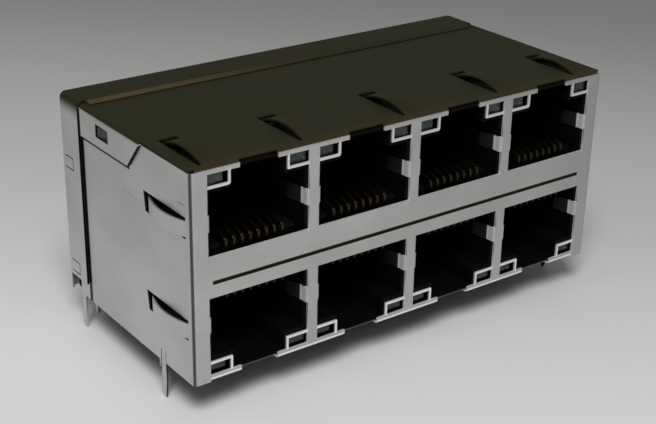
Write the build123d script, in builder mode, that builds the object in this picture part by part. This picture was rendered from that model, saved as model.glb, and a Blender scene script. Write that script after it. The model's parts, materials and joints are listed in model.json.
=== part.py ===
"""Shielded 2 x 4 stacked ethernet jack with built-in transformers, in millimetres.

The board plane is Z = 0. X runs along the rows, the sockets face -Y, and the origin lies midway
between the two locating posts. Depths are counted from the outer face of the front panel.
"""

from build123d import *

import os

os.makedirs("parts", exist_ok=True)

# Overall shell
columns = 4
port_pitch = 13.97
opening_width = 12.64
side_margin = 2.06
shell_height = 24.87
shell_depth = 29.0
standoff = 0.6
sheet = 0.25
bend_radius = 0.35
seam = 0.06
post_depth = 9.0

# Front panel, counted from the outer edge of each row
window_inset = 0.8
window_width = 2.55
window_height = 1.33
frame_strip = 0.45
frame_post = 0.35
frame_corner = 0.42
opening_height = 7.45
mouth_width = 4.75
slot_width = 53.4
slot_height = 0.4
slot_level = 11.8
lip_radius = 0.4
lip_depth = 1.4
bend_cut = 0.8
side_short = 2.7
top_short = 1.5

# Plug-ground fingers
finger_height = 1.85
finger_reach = 6.0
finger_swell = 0.55
finger_swell_depth = 3.2
finger_bend = 0.13
finger_curve = 0.8
finger_straight = 0.9
finger_from_band = {"upper": 3.75, "lower": 3.2}

# Panel-ground leaf springs
leaf_width = 1.8
leaf_start = 1.0
leaf_end = 9.3
leaf_bow = 0.8
leaf_dip = 0.35
leaf_slit = 0.35
leaf_window_end = 9.9
leaf_stub = 0.3
outer_top_leaf = 26.4
side_leaf_levels = [6.4, 18.25]

# Flaps of the top panel, folded down over the sides
flap_front = 10.0
flap_rear = 23.7
flap_drop = 3.6
flap_slant = 2.6
flap_window = [16.8, 19.7]
flap_window_drop = [1.0, 2.5]
flap_root = 1.2
flap_nick = 0.5
flap_overcut = 1.0
latch_gap = 0.2

# Rear shield
cap_flange = 4.9
cap_radius = 0.8
cap_drop = 2.1
cap_lip = 1.2
cap_lance_width = 2.1
cap_lance_height = 1.6
cap_lance_levels = [3.4, 16.9]
cap_lance_back = 0.3
cap_lance_cut = 0.15

# Tails, posts and pins, below the board
tail_width = 0.95
tail_tip = 0.5
tail_reach = 3.9
tail_depths = [6.6, 25.9]
tail_root = 1.8
tail_straight = 0.45
tail_slit = 0.12
tail_slit_end = 1.5
rear_tail_reach = 3.9
rear_tail_root = 0.2
post_radius = 1.6
post_reach = 3.0
post_chamfer = 0.5
pin_side = 0.5
pin_reach = 3.3
pin_gap = 0.06

# Housing
clearance = 0.1
cavity_width = 11.9
cavity_inset = 2.93
cavity_height = 6.92
cavity_depth = 13.0
back_wall = 1.4
latch_width = 6.6
latch_inset = 0.75
housing_rise = 0.3
housing_end = 28.0
rear_wall = 1.0
roof = 0.75
housing_chamfer = 0.25
pad_width = 3.4
pad_length = 3.2
side_pad_insets = [0.4, 1.9]
lip_relief = 0.12
finger_room = 0.2
finger_room_end = 0.5
leaf_room_side = 0.2
leaf_room_length = 1.8

# Indicator lamps
pocket_width = 2.9
pocket_height = 1.85
pocket_inset = 0.65
pocket_from_centre = 3.75
lamp_front = 0.6
lamp_length = 5.9
lamp_collar = 1.0
lens_trim = [0.3, 0.2]
lens_corner = 0.25
lens_chamfer = 0.15
lead_side = 0.45
lead_bend = 0.4
lead_spacing = 1.27
lower_lead_depths = [11.6, 12.7]
lead_room = 0.5
lead_room_side = 0.3
pocket_room = 0.8

# Contacts and their carriers
contact_count = 8
contact_pitch = 1.016
contact_width = 0.36
contact_thickness = 0.3
plate_thickness = 0.3
plate_chamfer = 1.2
tongue_front = 1.9
tongue_gap = 0.05
groove_width = 0.5
groove_depth = 0.55
loop_front = 1.1
loop_rise = 0.75
contact_lift = 4.1
contact_bends = [0.35, 0.3]
contact_in_comb = 0.6
comb_front = 11.2
comb_depth = 1.7
comb_rise = 4.8
comb_slot_depth = 1.2
comb_margin = 0.4
carrier_chamfer = 0.3

# Modules behind the sockets
board_thickness = 1.0
board_front = 14.8
board_notch = [4.0, 0.6]
chip_size = [1.0, 1.8, 0.5]
chip_pitch = 2.4
chip_count = 4
capacitor_size = [4.5, 2.0, 1.6]
chip_inset = 2.0
module_gap = 1.0
case_gap = 0.25
case_end = 26.9
case_wall = 0.7
case_base = 0.8
case_height = 20.9
case_divider = 0.8
case_chamfer = 0.6
core_radius = 2.0
core_bore = 0.8
core_length = 3.2
core_spacing = [5.6, 4.3]
core_chamfer = 0.3
core_rise = 0.2
organizer_thickness = 1.0
rear_pad_width = 1.8
rear_pad_insets = [0.4, 3.5]
pin_rows = [17.6, 20.1, 22.7, 25.2]
pin_spacing = 2.54
pins_in_row = 5
pin_wrap = 0.9

# Values that follow from the sizes above
span = (columns - 1) * port_pitch
shell_width = span + opening_width + 2 * side_margin
half_width = shell_width / 2
shell_bottom = standoff
shell_top = standoff + shell_height
opening_edge = opening_width / 2
mid_sheet = sheet / 2
column_xs = [column * port_pitch - span / 2 for column in range(columns)]
bar_xs = [x + port_pitch / 2 for x in column_xs[:-1]]
frame_reach = window_inset + window_height + frame_strip
band_inset = frame_reach + opening_height
inner_window_edge = opening_edge - window_width
frame_inner_edge = inner_window_edge - frame_post
plate_level = shell_bottom + slot_level
plate_low = plate_level - plate_thickness / 2
plate_high = plate_level + plate_thickness / 2
housing_half = half_width - sheet - clearance
housing_bottom = shell_bottom + housing_rise
housing_top = shell_top - sheet - clearance
tongue_rear = cavity_depth + back_wall + clearance
pocket_mid = pocket_from_centre + pocket_width / 2
pocket_to = pocket_from_centre + pocket_width
lead_room_reach = [pocket_from_centre + lead_room_side, pocket_to - lead_room_side]
lamp_mid_inset = pocket_inset + pocket_height / 2
sides = [-1, 1]
rows = ["upper", "lower"]


def y_at(depth):
    """Y of a depth behind the outer face of the front panel."""
    return depth - post_depth


def facing(depth):
    """Plane that looks out of the front, at a depth: local X is X and local Y is Z."""
    return Plane.XZ.offset(-y_at(depth))


def level(row, inset):
    """Z of a distance inwards from the outer edge of a row."""
    return shell_top - inset if row == "upper" else shell_bottom + inset


def inward(row):
    """Direction along Z from the outer edge of a row to the middle of the jack."""
    return -1 if row == "upper" else 1


def area(u_ends, v_ends, mode=Mode.ADD):
    """Adds the rectangle between two pairs of ends to the open sketch."""
    u_low, u_high = sorted(u_ends)
    v_low, v_high = sorted(v_ends)
    with Locations(((u_low + u_high) / 2, (v_low + v_high) / 2)):
        Rectangle(u_high - u_low, v_high - v_low, mode=mode)


def row_area(row, x_ends, inset_ends, mode=Mode.ADD):
    """Adds a rectangle of a front view, given by its distances from the edge of a row."""
    area(x_ends, [level(row, inset) for inset in inset_ends], mode)


def publish(builder, name):
    """Labels a finished piece and writes its file."""
    builder.part.label = name
    export_step(builder.part, f"parts/{name}.step")


# Front shield: one sheet, folded back from the front panel
def socket_windows():
    """Outline of all the openings of the front panel."""
    for row in rows:
        for x in column_xs:
            row_area(row, (x - opening_edge, x + opening_edge), (frame_reach, band_inset))
            row_area(row, (x - frame_inner_edge, x + frame_inner_edge), (window_inset, frame_reach))
            row_area(row, (x - mouth_width / 2, x + mouth_width / 2), (-1, window_inset))
            for side in sides:
                row_area(row, (x + side * inner_window_edge, x + side * opening_edge),
                         (window_inset, window_inset + window_height))
    with Locations((0, plate_level)):
        SlotOverall(slot_width, slot_height)


def lip_spans():
    """X ends of the folded lips, which run from one latch mouth to the next."""
    half_mouth = mouth_width / 2
    ends = [[x + half_mouth, x + port_pitch - half_mouth] for x in column_xs[:-1]]
    first = [column_xs[0] - opening_edge, column_xs[0] - half_mouth]
    last = [column_xs[-1] + half_mouth, column_xs[-1] + opening_edge]
    return [first, *ends, last]


def finger_path(x, side):
    """Plan of a plug finger, folded in at the edge of the opening and back along the cavity wall."""
    edge = x + side * opening_edge
    FilletPolyline(
        (edge + side * sheet, y_at(mid_sheet)),
        (edge - side * mid_sheet, y_at(mid_sheet)),
        (edge - side * mid_sheet, y_at(finger_straight)),
        (edge - side * (mid_sheet + finger_swell), y_at(finger_swell_depth)),
        (edge - side * mid_sheet, y_at(finger_reach)),
        radius=[finger_bend, finger_curve, finger_curve],
    )


def side_leaf_path(side):
    """Plan of a side leaf spring: bowed out, with its free end turned in."""
    wall = side * (half_width - mid_sheet)
    out = side * leaf_bow
    Line((wall, y_at(leaf_start - leaf_stub)), (wall, y_at(leaf_start)))
    ThreePointArc((wall, y_at(leaf_start)), (wall + out, y_at((leaf_start + leaf_end) / 2)),
                  (wall - side * leaf_dip, y_at(leaf_end)))


def top_leaf_path():
    """Side view of a top leaf spring: bowed up, with its free end turned down."""
    roof_level = shell_top - mid_sheet
    Line((y_at(leaf_start - leaf_stub), roof_level), (y_at(leaf_start), roof_level))
    ThreePointArc((y_at(leaf_start), roof_level),
                  (y_at((leaf_start + leaf_end) / 2), roof_level + leaf_bow),
                  (y_at(leaf_end), roof_level - leaf_dip))


def tail_outline(middle, root_level, reach):
    """Outline of a tail in the plane of its sheet, tapering to a blunt tip."""
    half_root = tail_width / 2
    half_tip = tail_tip / 2
    taper_level = -reach * tail_straight
    with BuildLine() as outline:
        Polyline(
            (middle - half_root, root_level), (middle + half_root, root_level),
            (middle + half_root, taper_level), (middle + half_tip, -reach),
            (middle - half_tip, -reach), (middle - half_root, taper_level), close=True,
        )
    make_face(outline.edges())


cap_half = half_width + seam + sheet
cap_top = shell_top + seam + sheet
cap_front = shell_depth - cap_flange
cap_inner_radius = cap_radius - sheet
top_leaf_xs = [-outer_top_leaf, *bar_xs, outer_top_leaf]
side_end = shell_depth - side_short
top_end = shell_depth - top_short

with BuildPart() as front_shield:
    with BuildSketch(Plane.XY.offset(shell_bottom)):
        with BuildLine():
            FilletPolyline(
                (-half_width + mid_sheet, y_at(side_end)), (-half_width + mid_sheet, y_at(mid_sheet)),
                (half_width - mid_sheet, y_at(mid_sheet)), (half_width - mid_sheet, y_at(side_end)),
                radius=bend_radius,
            )
        trace(line_width=sheet)
    extrude(amount=shell_height - sheet - seam)
    relief = half_width - 3 * sheet
    with BuildSketch(Plane.YZ):
        with BuildLine():
            FilletPolyline(
                (y_at(mid_sheet), shell_top - 2), (y_at(mid_sheet), shell_top - mid_sheet),
                (y_at(top_end), shell_top - mid_sheet), radius=bend_radius,
            )
        trace(line_width=sheet)
    extrude(amount=relief, both=True)
    with BuildSketch(Plane.XY.offset(shell_top - sheet)):
        area((-half_width, half_width), (y_at(2 * sheet), y_at(cap_front - seam)))
        tongue_half = half_width - seam - cap_inner_radius
        area((-tongue_half, tongue_half), (y_at(shell_depth / 2), y_at(top_end)))
    extrude(amount=sheet)
    # The sides are lower under the rounded edges of the rear shield
    with BuildSketch(Plane.YZ):
        area((y_at(cap_front - seam), y_at(shell_depth)),
             (shell_top - seam - cap_inner_radius, shell_top - sheet))
    extrude(amount=half_width + sheet, both=True, mode=Mode.SUBTRACT)

    # Openings of the front panel, cut through the bends above and below the latch mouths
    with BuildSketch(facing(-sheet)):
        socket_windows()
    extrude(amount=-bend_cut, mode=Mode.SUBTRACT)
    frame_corners = front_shield.edges().filter_by(Axis.Y).filter_by(
        lambda edge: any(
            abs(edge.center().X - (x - frame_inner_edge)) < 0.01
            and abs(edge.center().Z - level("upper", frame_reach)) < 0.01
            for x in column_xs
        )
    )
    fillet(frame_corners, frame_corner)

    # Folded lips under the indicator windows
    for lip in lip_spans():
        with BuildSketch(facing(-sheet)):
            area(lip, (shell_bottom - 1, shell_bottom + lip_radius + mid_sheet))
        extrude(amount=-2 * sheet, mode=Mode.SUBTRACT)
        with BuildSketch(Plane.YZ.offset(lip[0])):
            with BuildLine():
                FilletPolyline(
                    (y_at(mid_sheet), shell_bottom + window_inset),
                    (y_at(mid_sheet), shell_bottom + mid_sheet),
                    (y_at(lip_depth), shell_bottom + mid_sheet), radius=lip_radius,
                )
            trace(line_width=sheet)
        extrude(amount=lip[1] - lip[0])

    # Plug-ground fingers
    for row in rows:
        finger_mid = level(row, band_inset - finger_from_band[row])
        with BuildSketch(Plane.XY.offset(finger_mid - finger_height / 2)):
            for x in column_xs:
                for side in sides:
                    with BuildLine():
                        finger_path(x, side)
                    trace(line_width=sheet)
        extrude(amount=finger_height)

    # Side leaf springs
    for side in sides:
        for leaf_level in side_leaf_levels:
            leaf_low = shell_bottom + leaf_level - leaf_width / 2
            with BuildSketch(Plane.YZ.offset(side * half_width)):
                area((y_at(leaf_start), y_at(leaf_window_end)),
                     (leaf_low - leaf_slit / 2, leaf_low + leaf_width + leaf_slit))
            extrude(amount=2 * sheet, both=True, mode=Mode.SUBTRACT)
            with BuildSketch(Plane.XY.offset(leaf_low)):
                with BuildLine():
                    side_leaf_path(side)
                trace(line_width=sheet)
            extrude(amount=leaf_width)

    # Top leaf springs
    for x in top_leaf_xs:
        with BuildSketch(Plane.XY.offset(shell_top)):
            area((x - leaf_width / 2 - leaf_slit, x + leaf_width / 2 + leaf_slit / 2),
                 (y_at(leaf_start), y_at(leaf_window_end)))
        extrude(amount=2 * sheet, both=True, mode=Mode.SUBTRACT)
        with BuildSketch(Plane.YZ.offset(x - leaf_width / 2)):
            with BuildLine():
                top_leaf_path()
            trace(line_width=sheet)
        extrude(amount=leaf_width)

    # Flaps of the top panel over the sides, each with its latch window
    for side in sides:
        flap_x = side * (half_width + seam + mid_sheet)
        with BuildSketch(facing(flap_front)):
            with BuildLine():
                FilletPolyline(
                    (flap_x - side * flap_root, shell_top - mid_sheet), (flap_x, shell_top - mid_sheet),
                    (flap_x, shell_top - flap_drop), radius=bend_radius,
                )
            trace(line_width=sheet)
        extrude(amount=flap_front - flap_rear)
        with BuildSketch(Plane.YZ.offset(side * (half_width + seam / 2))):
            with BuildLine():
                Polyline(
                    (y_at(flap_front), shell_top - flap_nick),
                    (y_at(flap_front + flap_slant), shell_top - flap_drop),
                    (y_at(flap_front - flap_overcut), shell_top - flap_drop), close=True,
                )
            make_face()
            area([y_at(depth) for depth in flap_window], [shell_top - drop for drop in flap_window_drop])
        extrude(amount=side * (sheet + seam), mode=Mode.SUBTRACT)
        # Latch lance of the side panel, inside the window
        with BuildSketch(Plane.XY.offset(shell_top - flap_window_drop[1] + latch_gap)):
            with BuildLine():
                Polyline(
                    (side * (half_width - mid_sheet), y_at(flap_window[0] + 2 * latch_gap)),
                    (side * (half_width + sheet), y_at(flap_window[1] - 2 * latch_gap)),
                    (side * (half_width - mid_sheet), y_at(flap_window[1] - 2 * latch_gap)), close=True,
                )
            make_face()
        extrude(amount=flap_window_drop[1] - flap_window_drop[0] - 2 * latch_gap)

    # Board tails, lanced from the side panels
    for side in sides:
        with BuildSketch(Plane.YZ.offset(side * (half_width - sheet))):
            for depth in tail_depths:
                tail_outline(y_at(depth), shell_bottom + tail_root, tail_reach)
        extrude(amount=side * sheet)
        with BuildSketch(Plane.YZ.offset(side * half_width)):
            for hand in sides:
                slit_depth = tail_depths[0] + hand * tail_width / 2
                area((y_at(slit_depth - tail_slit / 2), y_at(slit_depth + tail_slit / 2)),
                     (shell_bottom - 1, shell_bottom + tail_slit_end))
        extrude(amount=2 * sheet, both=True, mode=Mode.SUBTRACT)
publish(front_shield, "front_shield")

# Rear shield: a cap over the back, with flanges on the top and the sides
with BuildPart() as rear_shield:
    with BuildSketch(Plane.XY.offset(shell_bottom)):
        area((-cap_half, cap_half), (y_at(cap_front), y_at(shell_depth)))
    extrude(amount=cap_top - shell_bottom)
    back_edges = rear_shield.faces().sort_by(Axis.Y)[-1].edges()
    rounded = back_edges.filter_by(Axis.X).sort_by(Axis.Z)[-1:] + back_edges.filter_by(Axis.Z)
    rounded += rear_shield.faces().sort_by(Axis.Z)[-1].edges().filter_by(Axis.Y)
    fillet(rounded, cap_radius)
    mouth = rear_shield.faces().sort_by(Axis.Y)[0]
    floor = rear_shield.faces().sort_by(Axis.Z)[0]
    offset(amount=-sheet, openings=[mouth, floor])
    # The side flanges end above the rear corners of the side panels
    with BuildSketch(Plane.YZ):
        area((y_at(cap_front), y_at(shell_depth - cap_radius)), (shell_bottom, shell_bottom + cap_drop))
    extrude(amount=cap_half, both=True, mode=Mode.SUBTRACT)
    # Front lip of the top flange, pressed down on to the top panel
    with BuildSketch(Plane.YZ):
        with BuildLine():
            Polyline(
                (y_at(cap_front - cap_lip), shell_top + seam / 2),
                (y_at(cap_front + sheet), cap_top - sheet), (y_at(cap_front + sheet), cap_top),
                (y_at(cap_front), cap_top),
                (y_at(cap_front - cap_lip), shell_top + seam / 2 + mid_sheet),
                close=True,
            )
        make_face()
    extrude(amount=half_width - cap_radius, both=True)
    # Lances of the side flanges, cut on three sides and pressed in against the side panel
    for side in sides:
        for lance_level in cap_lance_levels:
            lance_low = shell_bottom + lance_level - cap_lance_height / 2
            lance_y = y_at(shell_depth - cap_radius - cap_lance_back - cap_lance_width)
            with BuildSketch(Plane.YZ.offset(side * cap_half)):
                area((lance_y, lance_y + cap_lance_width), (lance_low, lance_low + cap_lance_height))
                area((lance_y + cap_lance_cut, lance_y + cap_lance_width),
                     (lance_low + cap_lance_cut, lance_low + cap_lance_height - cap_lance_cut),
                     mode=Mode.SUBTRACT)
            extrude(amount=-side * 1.5 * sheet, mode=Mode.SUBTRACT)
    # Tails along the foot of the back panel
    with BuildSketch(Plane.XZ.offset(-y_at(shell_depth))):
        for x in bar_xs:
            tail_outline(x, shell_bottom + rear_tail_root, rear_tail_reach)
    extrude(amount=sheet)
publish(rear_shield, "rear_shield")

# Housing: one black moulding with eight socket cavities and an open chamber behind them
band_low = level("lower", cavity_inset + cavity_height)
band_high = level("upper", cavity_inset + cavity_height)
comb_half = contact_count * contact_pitch / 2 + comb_margin

with BuildPart() as housing:
    with BuildSketch(Plane.XY.offset(housing_bottom)):
        area((-housing_half, housing_half), (y_at(sheet + tongue_gap), y_at(housing_end)))
    extrude(amount=housing_top - housing_bottom)
    chamfer(housing.edges().filter_by(Axis.Z), housing_chamfer)
    # Chamber for the modules, open at the back and below
    with BuildSketch(Plane.XY.offset(housing_bottom)):
        area((-housing_half + rear_wall, housing_half - rear_wall),
             (y_at(cavity_depth + back_wall), y_at(housing_end)))
    extrude(amount=housing_top - roof - housing_bottom, mode=Mode.SUBTRACT)
    # Socket cavities and latch channels
    with BuildSketch(facing(0)):
        for row in rows:
            for x in column_xs:
                row_area(row, (x - cavity_width / 2, x + cavity_width / 2),
                         (cavity_inset, cavity_inset + cavity_height))
                row_area(row, (x - latch_width / 2, x + latch_width / 2), (latch_inset, cavity_inset))
    extrude(amount=-cavity_depth, mode=Mode.SUBTRACT)
    # Openings for the contact tongues and their combs, and the slot for the middle plate
    with BuildSketch(facing(0)):
        for x in column_xs:
            area((x - cavity_width / 2, x + cavity_width / 2), (band_low, band_high))
        area((-slot_width / 2, slot_width / 2), (plate_low - tongue_gap, plate_high + tongue_gap))
    extrude(amount=-tongue_rear, mode=Mode.SUBTRACT)
    with BuildSketch(facing(cavity_depth - comb_depth)):
        for x in column_xs:
            area((x - comb_half - clearance, x + comb_half + clearance),
                 (band_low - comb_rise - clearance, band_high + comb_rise + clearance))
    extrude(amount=-(back_wall + comb_depth + clearance), mode=Mode.SUBTRACT)
    # Lamp pockets, through to the chamber in the upper row
    for row, pocket_end in [("upper", tongue_rear), ("lower", lower_lead_depths[1] + pocket_room)]:
        with BuildSketch(facing(0)):
            for x in column_xs:
                for side in sides:
                    row_area(row, (x + side * pocket_from_centre, x + side * pocket_to),
                             (pocket_inset, pocket_inset + pocket_height))
        extrude(amount=-pocket_end, mode=Mode.SUBTRACT)
    # Way out for the leads of the lower lamps
    with BuildSketch(Plane.XY.offset(housing_bottom)):
        for x in column_xs:
            for side in sides:
                area([x + side * reach for reach in lead_room_reach],
                     (y_at(lower_lead_depths[0] - lead_room), y_at(lower_lead_depths[1] + lead_room)))
    extrude(amount=pocket_inset, mode=Mode.SUBTRACT)
    # Recesses for the plug fingers
    for row in rows:
        finger_mid = level(row, band_inset - finger_from_band[row])
        with BuildSketch(Plane.XY.offset(finger_mid - finger_height / 2 - finger_room)):
            for x in column_xs:
                area((x - opening_edge - clearance, x + opening_edge + clearance),
                     (y_at(0), y_at(finger_reach + finger_room_end)))
        extrude(amount=finger_height + 2 * finger_room, mode=Mode.SUBTRACT)
    # Recesses behind the free ends of the leaf springs
    leaf_room = leaf_dip + sheet
    leaf_room_half = leaf_width / 2 + leaf_room_side
    leaf_room_ends = [y_at(leaf_end - leaf_room_length), y_at(leaf_window_end)]
    with BuildSketch(Plane.XY.offset(housing_top)):
        for x in top_leaf_xs:
            area((x - leaf_room_half, x + leaf_room_half), leaf_room_ends)
    extrude(amount=-leaf_room, mode=Mode.SUBTRACT)
    for side in sides:
        with BuildSketch(Plane.YZ.offset(side * housing_half)):
            for leaf_level in side_leaf_levels:
                leaf_mid = shell_bottom + leaf_level
                area(leaf_room_ends, (leaf_mid - leaf_room_half, leaf_mid + leaf_room_half))
        extrude(amount=-side * leaf_room, mode=Mode.SUBTRACT)
    # Relief over the folded lips
    with BuildSketch(Plane.XY.offset(housing_bottom)):
        area((-housing_half, housing_half), (y_at(0), y_at(lip_depth + clearance)))
    extrude(amount=lip_relief, mode=Mode.SUBTRACT)
    # Seat pads and locating posts
    with BuildSketch(Plane.XY):
        area((-pad_width / 2, pad_width / 2), (-pad_length / 2, pad_length / 2))
        for side in sides:
            area([side * (housing_half - inset) for inset in side_pad_insets],
                 (-pad_length / 2, pad_length / 2))
    extrude(amount=housing_bottom)
    with BuildSketch(Plane.XY.offset(-post_reach)):
        with Locations((bar_xs[0], 0), (bar_xs[-1], 0)):
            Circle(post_radius)
    extrude(amount=post_reach + housing_bottom)
    post_tips = housing.faces().sort_by(Axis.Z)[:2].edges()
    chamfer(post_tips, post_chamfer)
publish(housing, "housing")

# Middle ground plate: a flat sheet between the rows, with its front edge in the slot
with BuildPart() as mid_ground_plate:
    with BuildSketch(Plane.XY.offset(plate_low)):
        area((-slot_width / 2 + clearance, slot_width / 2 - clearance),
             (y_at(clearance), y_at(tongue_rear - clearance)))
    extrude(amount=plate_thickness)
    chamfer(mid_ground_plate.faces().sort_by(Axis.Y)[-1].edges().filter_by(Axis.Z), plate_chamfer)
publish(mid_ground_plate, "mid_ground_plate")


# Contact tongues: each carries eight wires in grooves and ends in a comb at the back of the cavity
def contact_xs(x):
    """X of each contact of a socket."""
    return [x + (index - (contact_count - 1) / 2) * contact_pitch for index in range(contact_count)]


def tongue_face(row):
    """Z of the face of a tongue that looks into its cavity."""
    return level(row, cavity_inset + cavity_height)


def carrier(row, x):
    """One carrier moulding: the tongue, its upright comb and the grooves for the wires."""
    face = tongue_face(row)
    plate_side = plate_high if row == "upper" else plate_low
    out = -inward(row)
    half_groove = groove_width / 2
    with BuildPart() as moulding:
        with BuildSketch(facing(tongue_front)):
            area((x - cavity_width / 2 + clearance, x + cavity_width / 2 - clearance), (plate_side, face))
        extrude(amount=tongue_front - tongue_rear)
        chamfer(moulding.faces().sort_by(Axis.Y)[0].edges().filter_by(Axis.X), carrier_chamfer)
        with BuildSketch(facing(comb_front)):
            area((x - comb_half, x + comb_half), (face, face + out * comb_rise))
        extrude(amount=-comb_depth)
        crosswise = moulding.edges().filter_by(Axis.X).sort_by(Axis.Z)
        chamfer(crosswise[-2:] if row == "upper" else crosswise[:2], carrier_chamfer)
        with BuildSketch(facing(tongue_front)):
            for wire_x in contact_xs(x):
                area((wire_x - half_groove, wire_x + half_groove), (face - out * groove_depth, face + out))
        extrude(amount=tongue_front - tongue_rear, mode=Mode.SUBTRACT)
        with BuildSketch(facing(comb_front)):
            for wire_x in contact_xs(x):
                area((wire_x - half_groove, wire_x + half_groove), (face, face + out * (comb_rise + 1)))
        extrude(amount=-comb_slot_depth, mode=Mode.SUBTRACT)
    return moulding


def contacts(row, x):
    """Eight bent wires: along the groove, round the front of the tongue and up to the comb."""
    out = -inward(row)
    bed = tongue_face(row) - out * (groove_depth - contact_thickness / 2)
    crest = tongue_face(row) + out * loop_rise
    with BuildPart() as wires:
        for wire_x in contact_xs(x):
            with BuildSketch(Plane.YZ.offset(wire_x - contact_width / 2)):
                with BuildLine():
                    FilletPolyline(
                        (y_at(board_front), bed), (y_at(loop_front), bed), (y_at(loop_front), crest),
                        (y_at(comb_front + contact_in_comb), tongue_face(row) + out * contact_lift),
                        radius=contact_bends,
                    )
                trace(line_width=contact_thickness)
            extrude(amount=contact_width)
    return wires


for number, column_x in enumerate(column_xs, 1):
    for row in rows:
        publish(carrier(row, column_x), f"{row}_carrier_{number}")
        publish(contacts(row, column_x), f"{row}_contacts_{number}")

# Indicator lamps: a lens body in each pocket, with two bent leads
lamp_half = pocket_width / 2 - clearance
lamp_height = pocket_height - 2 * clearance


def lamp(row, x):
    """Lens body of one lamp, with a shallow crowned front and a collar at its back."""
    middle = level(row, lamp_mid_inset)
    with BuildPart() as body:
        with BuildSketch(facing(lamp_front)):
            with Locations((x, middle)):
                RectangleRounded(2 * lamp_half - lens_trim[0], lamp_height - lens_trim[1], lens_corner)
        extrude(amount=-lamp_length)
        chamfer(body.faces().sort_by(Axis.Y)[0].edges(), lens_chamfer)
        with BuildSketch(facing(lamp_front + lamp_length - lamp_collar)):
            with Locations((x, middle)):
                Rectangle(2 * lamp_half, lamp_height)
        extrude(amount=-lamp_collar)
    return body


def lead_xs(x):
    """X of the two leads of each lamp of a socket, with the place of each in its pair."""
    return [(x + side * pocket_mid + end * lead_spacing / 2, end) for side in sides for end in sides]


def lamp_leads(row):
    """All the leads of one row: back from the lamps, then down through the board."""
    middle = level(row, lamp_mid_inset)
    start = lamp_front + lamp_length
    with BuildPart() as leads:
        for x in column_xs:
            for lead_x, end in lead_xs(x):
                down = upper_lead_depth if row == "upper" else lower_lead_depths[end > 0]
                with BuildSketch(Plane.YZ.offset(lead_x - lead_side / 2)):
                    with BuildLine():
                        FilletPolyline((y_at(start), middle), (y_at(down), middle), (y_at(down), -pin_reach),
                                       radius=lead_bend)
                    trace(line_width=lead_side)
                extrude(amount=lead_side)
    return leads


upper_lead_depth = (case_end + housing_end) / 2
for number, column_x in enumerate(column_xs, 1):
    for row in rows:
        for side, hand in [(-1, "left"), (1, "right")]:
            publish(lamp(row, column_x + side * pocket_mid), f"led_{row}_{hand}_{number}")
for row in rows:
    publish(lamp_leads(row), f"led_leads_{row}")

# Modules: board, chip parts, case, ring cores and board pins of each column
module_half = (port_pitch - module_gap) / 2
module_bottom = housing_bottom + organizer_thickness
board_back = board_front + board_thickness
case_front = board_back + case_gap
chamber_height = (case_height - case_base - case_divider - case_wall) / 2
chamber_lows = [module_bottom + case_base, module_bottom + case_base + chamber_height + case_divider]
chamber_back = case_end - case_wall


def pin_places(x):
    """Board places of the pins of one column, in staggered rows."""
    places = []
    for index, depth in enumerate(pin_rows):
        count = pins_in_row - index % 2
        places += [(x + (place - (count - 1) / 2) * pin_spacing, y_at(depth)) for place in range(count)]
    return places


def board(x):
    """Upright circuit board with a relieved lower edge."""
    with BuildPart() as sheet_board:
        with BuildSketch(facing(board_front)):
            area((x - module_half, x + module_half), (module_bottom, module_bottom + case_height))
            area((x - board_notch[0] / 2, x + board_notch[0] / 2),
                 (module_bottom, module_bottom + board_notch[1]), mode=Mode.SUBTRACT)
        extrude(amount=-board_thickness)
    return sheet_board


def chip_parts(x):
    """Four terminating resistors and the high-voltage capacitor, on the back of the board."""
    with BuildPart() as chips:
        with BuildSketch(facing(board_back)):
            with Locations((x, chamber_lows[1] + chip_inset)):
                with GridLocations(chip_pitch, 1, chip_count, 1):
                    Rectangle(chip_size[0], chip_size[1])
        extrude(amount=-chip_size[2])
        with BuildSketch(facing(board_back)):
            with Locations((x, chamber_lows[0] + chamber_height - chip_inset)):
                Rectangle(capacitor_size[0], capacitor_size[1])
        extrude(amount=-capacitor_size[2])
    return chips


def magnetics_case(x):
    """Two-chamber case, open towards the board, with holes for the pins in its base."""
    hole = pin_side + 2 * pin_gap
    with BuildPart() as case:
        with BuildSketch(facing(case_front)):
            area((x - module_half, x + module_half), (module_bottom, module_bottom + case_height))
        extrude(amount=case_front - case_end)
        chamfer(case.edges().filter_by(Axis.Z).sort_by(Axis.Y)[-2:], case_chamfer)
        with BuildSketch(facing(case_front)):
            for low in chamber_lows:
                area((x - module_half + case_wall, x + module_half - case_wall), (low, low + chamber_height))
        extrude(amount=case_front - chamber_back, mode=Mode.SUBTRACT)
        with BuildSketch(Plane.XY.offset(module_bottom)):
            with Locations(*pin_places(x)):
                Rectangle(hole, hole)
        extrude(amount=case_base, mode=Mode.SUBTRACT)
    return case


def cores(x):
    """Eight wound ring cores seated on the back wall of the chambers, as eight-sided rings."""
    with BuildPart() as rings:
        with BuildSketch(facing(chamber_back - core_length)):
            for low in chamber_lows:
                with Locations((x, low + chamber_height / 2 + core_rise)):
                    with GridLocations(core_spacing[0], core_spacing[1], 2, 2):
                        RegularPolygon(core_radius, 8)
                        Circle(core_bore, mode=Mode.SUBTRACT)
        extrude(amount=-core_length)
        chamfer(rings.faces().sort_by(Axis.Y)[:8].edges().filter_by(GeomType.LINE), core_chamfer)
    return rings


def solder_pins(x):
    """Square board pins of one column, standing proud in the case for the coil wires."""
    with BuildPart() as pins:
        with BuildSketch(Plane.XY.offset(-pin_reach)):
            with Locations(*pin_places(x)):
                Rectangle(pin_side, pin_side)
        extrude(amount=pin_reach + module_bottom + case_base + pin_wrap)
    return pins


for number, column_x in enumerate(column_xs, 1):
    publish(board(column_x), f"board_{number}")
    publish(chip_parts(column_x), f"chip_parts_{number}")
    publish(magnetics_case(column_x), f"magnetics_case_{number}")
    publish(cores(column_x), f"cores_{number}")
    publish(solder_pins(column_x), f"solder_pins_{number}")

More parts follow.
